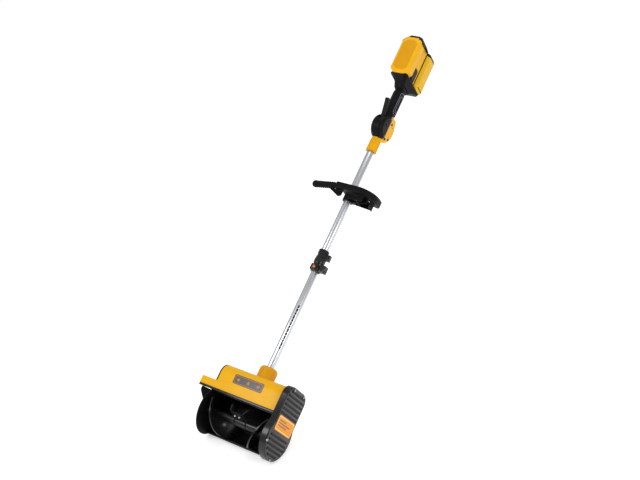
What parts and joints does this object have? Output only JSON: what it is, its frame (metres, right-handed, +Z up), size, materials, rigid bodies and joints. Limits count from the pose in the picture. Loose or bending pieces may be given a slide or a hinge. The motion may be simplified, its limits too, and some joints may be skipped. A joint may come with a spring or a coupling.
{
  "type": "cordless snow shovel",
  "caption": "Cordless snow shovel: battery power head, loop handle and coupler on a split shaft, and a belt-driven auger scoop.",
  "frame": {"origin": "on the ground, midway between the two round side runners, straight below the auger axle", "axes": "+Z up, -Y the way the scoop faces, +X towards the belt cover; the shaft leans back towards +Y by 48.7 degrees from the vertical"},
  "size_m": [0.3565, 1.3796, 1.1946],
  "materials": {
    "scoop_black": "moulded, fine texture",
    "hood_yellow": "moulded, semi-gloss",
    "trim_black": "moulded, satin",
    "cover_black": "moulded, fine texture",
    "label_orange": "printed film, no lettering",
    "gearbox_metal": "die cast",
    "bearing_steel": "ground",
    "belt_rubber": "matte",
    "screw_steel": "zinc plated",
    "tube_aluminium": "satin anodised",
    "shaft_steel": "ground",
    "auger_black": "moulded, satin",
    "pulley_grey": "glass-filled nylon",
    "gear_steel": "cut steel",
    "coupler_black": "glass-filled nylon",
    "knob_black": "moulded",
    "button_orange": "moulded",
    "loop_black": "moulded, satin",
    "grip_rubber": "textured overmould",
    "handle_black": "moulded, fine texture",
    "pod_yellow": "moulded, semi-gloss",
    "battery_yellow": "moulded, semi-gloss",
    "latch_red": "moulded",
    "switch_grey": "moulded",
    "board_green": "solder mask",
    "stator_copper": "wound copper on laminations",
    "rotor_steel": "ground",
    "fan_grey": "moulded",
    "cell_blue": "shrink sleeve"
  },
  "bodies": {
    "power_head": {"upper_tube": "tube_aluminium", "coupler_body": "coupler_black", "handle_left": "handle_black", "handle_right": "handle_black", "grip_panels": "grip_rubber", "pod_rear_shell": "pod_yellow", "housing_screws": "screw_steel", "trigger_spring": "screw_steel", "control_pins": "screw_steel", "switch_module": "switch_grey", "head_base": "handle_black", "head_core": "pod_yellow", "front_cover": "pod_yellow", "end_cap": "handle_black", "controller_board": "board_green", "battery_dock": "handle_black", "upper_bearings": "bearing_steel", "stator": "stator_copper"},
    "upper_drive": {"rotor": "rotor_steel", "motor_shaft": "shaft_steel", "cooling_fan": "fan_grey", "upper_drive_shaft": "shaft_steel"},
    "trigger": {"trigger": "knob_black"},
    "lock_off": {"lock_off_lever": "knob_black"},
    "battery": {"battery_case": "battery_yellow", "battery_cap": "handle_black", "battery_cells": "cell_blue"},
    "latch": {"battery_latch": "latch_red"},
    "loop_handle": {"loop_frame": "loop_black", "loop_grip": "grip_rubber", "loop_clamp": "coupler_black"},
    "loop_knob": {"loop_knob": "knob_black"},
    "coupler_knob": {"coupler_knob": "knob_black"},
    "coupler_button": {"coupler_button": "button_orange"},
    "attachment": {"scoop_shell": "scoop_black", "scraper": "scoop_black", "left_side": "scoop_black", "drive_plate": "scoop_black", "hood": "hood_yellow", "lip_trim": "trim_black", "belt_cover": "cover_black", "cover_label": "label_orange", "neck_cover": "hood_yellow", "gearbox_left": "gearbox_metal", "gearbox_right": "gearbox_metal", "lower_bearings": "bearing_steel", "drive_belt": "belt_rubber", "attachment_screws": "screw_steel", "lower_tube": "tube_aluminium"},
    "lower_drive": {"lower_drive_shaft": "shaft_steel", "drive_pinion": "gear_steel"},
    "cross_drive": {"cross_shaft": "shaft_steel", "crown_gear": "gear_steel", "small_pulley": "pulley_grey"},
    "auger": {"auger_axle": "shaft_steel", "auger_hub": "auger_black", "auger_flights": "auger_black", "centre_paddle": "auger_black", "shear_bolt": "screw_steel", "large_pulley": "pulley_grey"}
  },
  "joints": [
    {"name": "attachment_pull", "type": "slide", "parent": "power_head", "child": "attachment", "axis": [0, -0.7513, -0.66], "range_m": [0, 0.06]},
    {"name": "auger_spin", "type": "hinge", "parent": "attachment", "child": "auger", "pos_m": [0, 0, 0.086], "axis": [1, 0, 0], "continuous": true},
    {"name": "cross_spin", "type": "hinge", "parent": "attachment", "child": "cross_drive", "pos_m": [0, 0.09921, 0.15186], "axis": [1, 0, 0], "continuous": true},
    {"name": "lower_spin", "type": "hinge", "parent": "attachment", "child": "lower_drive", "pos_m": [0, 0.23594, 0.27198], "axis": [0, 0.7513, 0.66], "continuous": true},
    {"name": "upper_spin", "type": "hinge", "parent": "power_head", "child": "upper_drive", "pos_m": [0, 0.6867, 0.66798], "axis": [0, 0.7513, 0.66], "continuous": true},
    {"name": "trigger_squeeze", "type": "hinge", "parent": "power_head", "child": "trigger", "pos_m": [0, 0.98806, 0.87949], "axis": [1, 0, 0], "range_deg": [0, 14], "stiffness_Nm_per_rad": 0.5, "springref_deg": -5.73},
    {"name": "lock_off_press", "type": "hinge", "parent": "power_head", "child": "lock_off", "pos_m": [0, 0.94318, 0.93058], "axis": [-1, 0, 0], "range_deg": [0, 12], "stiffness_Nm_per_rad": 0.5, "springref_deg": -11.46},
    {"name": "battery_slide", "type": "slide", "parent": "power_head", "child": "battery", "axis": [0, 0.7513, 0.66], "range_m": [0, 0.17]},
    {"name": "latch_press", "type": "slide", "parent": "battery", "child": "latch", "axis": [0, -0.66, 0.7513], "range_m": [0, 0.0028], "stiffness_N_per_m": 600, "springref_m": -0.001},
    {"name": "loop_slide", "type": "slide", "parent": "power_head", "child": "loop_handle", "axis": [0, 0.7513, 0.66], "range_m": [-0.12, 0.08]},
    {"name": "loop_knob_turn", "type": "hinge", "parent": "loop_handle", "child": "loop_knob", "pos_m": [0.024, 0.72273, 0.66636], "axis": [0, 0.66, -0.7513], "range_deg": [0, 360]},
    {"name": "coupler_knob_turn", "type": "hinge", "parent": "power_head", "child": "coupler_knob", "pos_m": [0.0335, 0.46945, 0.49709], "axis": [0, -0.66, 0.7513], "range_deg": [0, 360]},
    {"name": "coupler_button_press", "type": "slide", "parent": "power_head", "child": "coupler_button", "axis": [0, 0.66, -0.7513], "range_m": [0, 0.003], "stiffness_N_per_m": 600, "springref_m": -0.001}
  ],
  "couplings": [
    {"joint": "cross_spin", "follows": "auger_spin", "ratio": 3},
    {"joint": "lower_spin", "follows": "auger_spin", "ratio": -6},
    {"joint": "upper_spin", "follows": "auger_spin", "ratio": -6}
  ]
}
